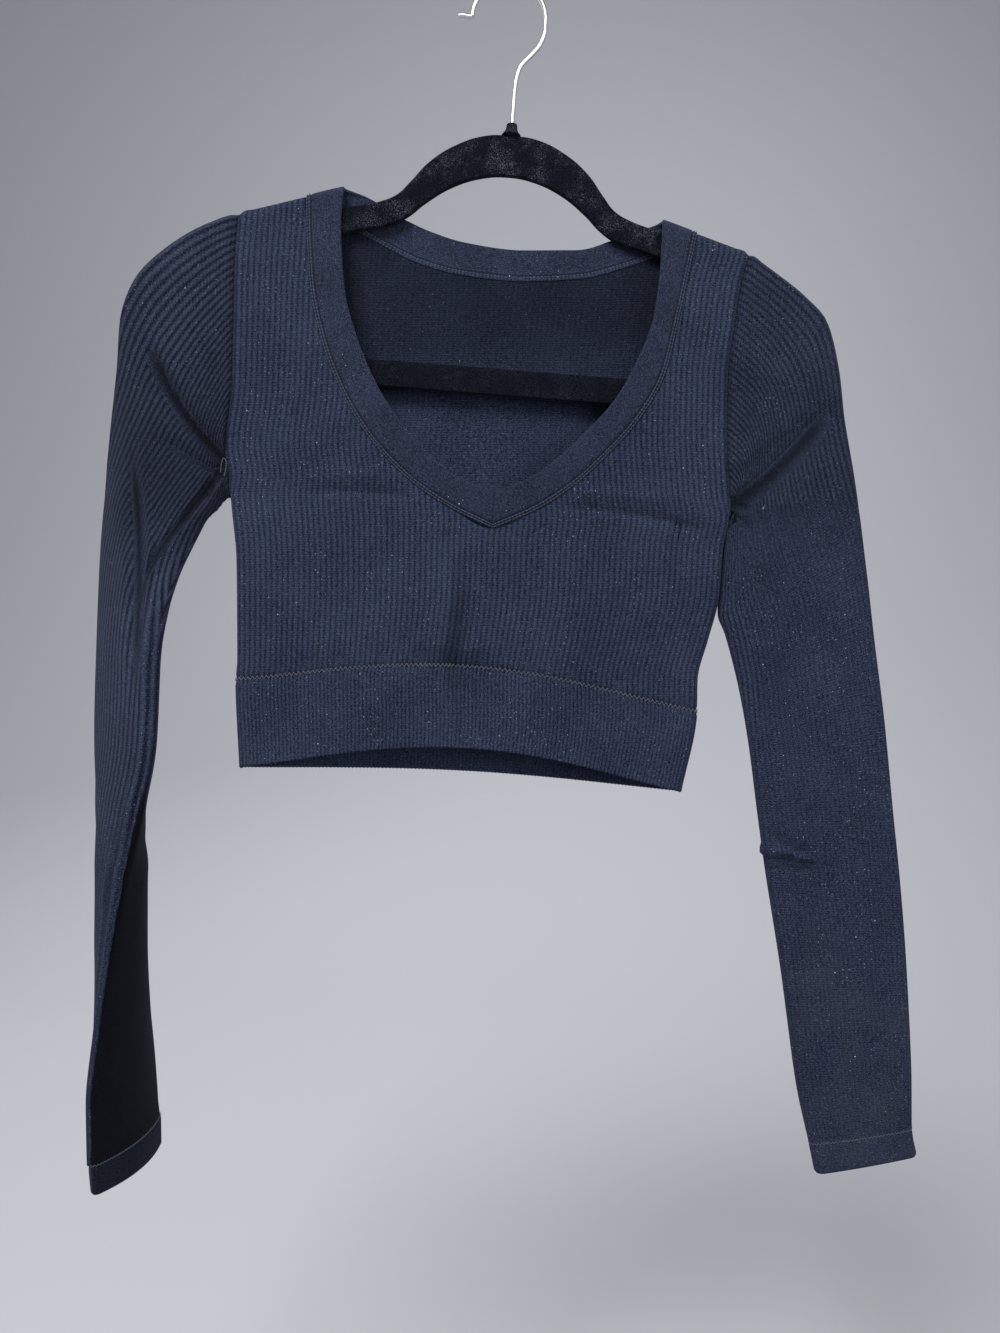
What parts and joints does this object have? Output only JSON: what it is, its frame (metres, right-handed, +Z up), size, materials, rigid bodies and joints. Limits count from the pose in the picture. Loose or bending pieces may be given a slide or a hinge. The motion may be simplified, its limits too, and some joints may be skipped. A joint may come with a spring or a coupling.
{
  "type": "crop top on hanger",
  "caption": "Long-sleeved ribbed crop top with a V neckband, deep waistband and narrow cuffs, hung empty on a flocked hanger with a wire hook.",
  "frame": {"origin": "underside of the hook's top, where it sits on a rail", "axes": "+Z up; -Y towards the front of the garment; +X towards the wearer's left sleeve"},
  "size_m": [0.5555, 0.0752, 0.7907],
  "materials": {
    "rib_knit": "blue-black seamless rib knit, matt with a faint nap",
    "band_knit": "the same knit doubled over, with a finer, flatter rib",
    "neck_knit": "plain fine knit binding, matt",
    "flock": "black velvet flock on a moulded body",
    "hook_wire": "bright plated wire, satin"
  },
  "bodies": {
    "root": {"front_panel": "rib_knit", "back_panel": "rib_knit", "sleeve_right": "rib_knit", "sleeve_left": "rib_knit", "waistband_front": "band_knit", "waistband_back": "band_knit", "cuff_right": "band_knit", "cuff_left": "band_knit", "neckband_front_right": "neck_knit", "neckband_front_left": "neck_knit", "neckband_back": "neck_knit", "hanger_body": "flock", "hanger_collar": "flock", "hanger_hook": "hook_wire"}
  },
  "joints": []
}
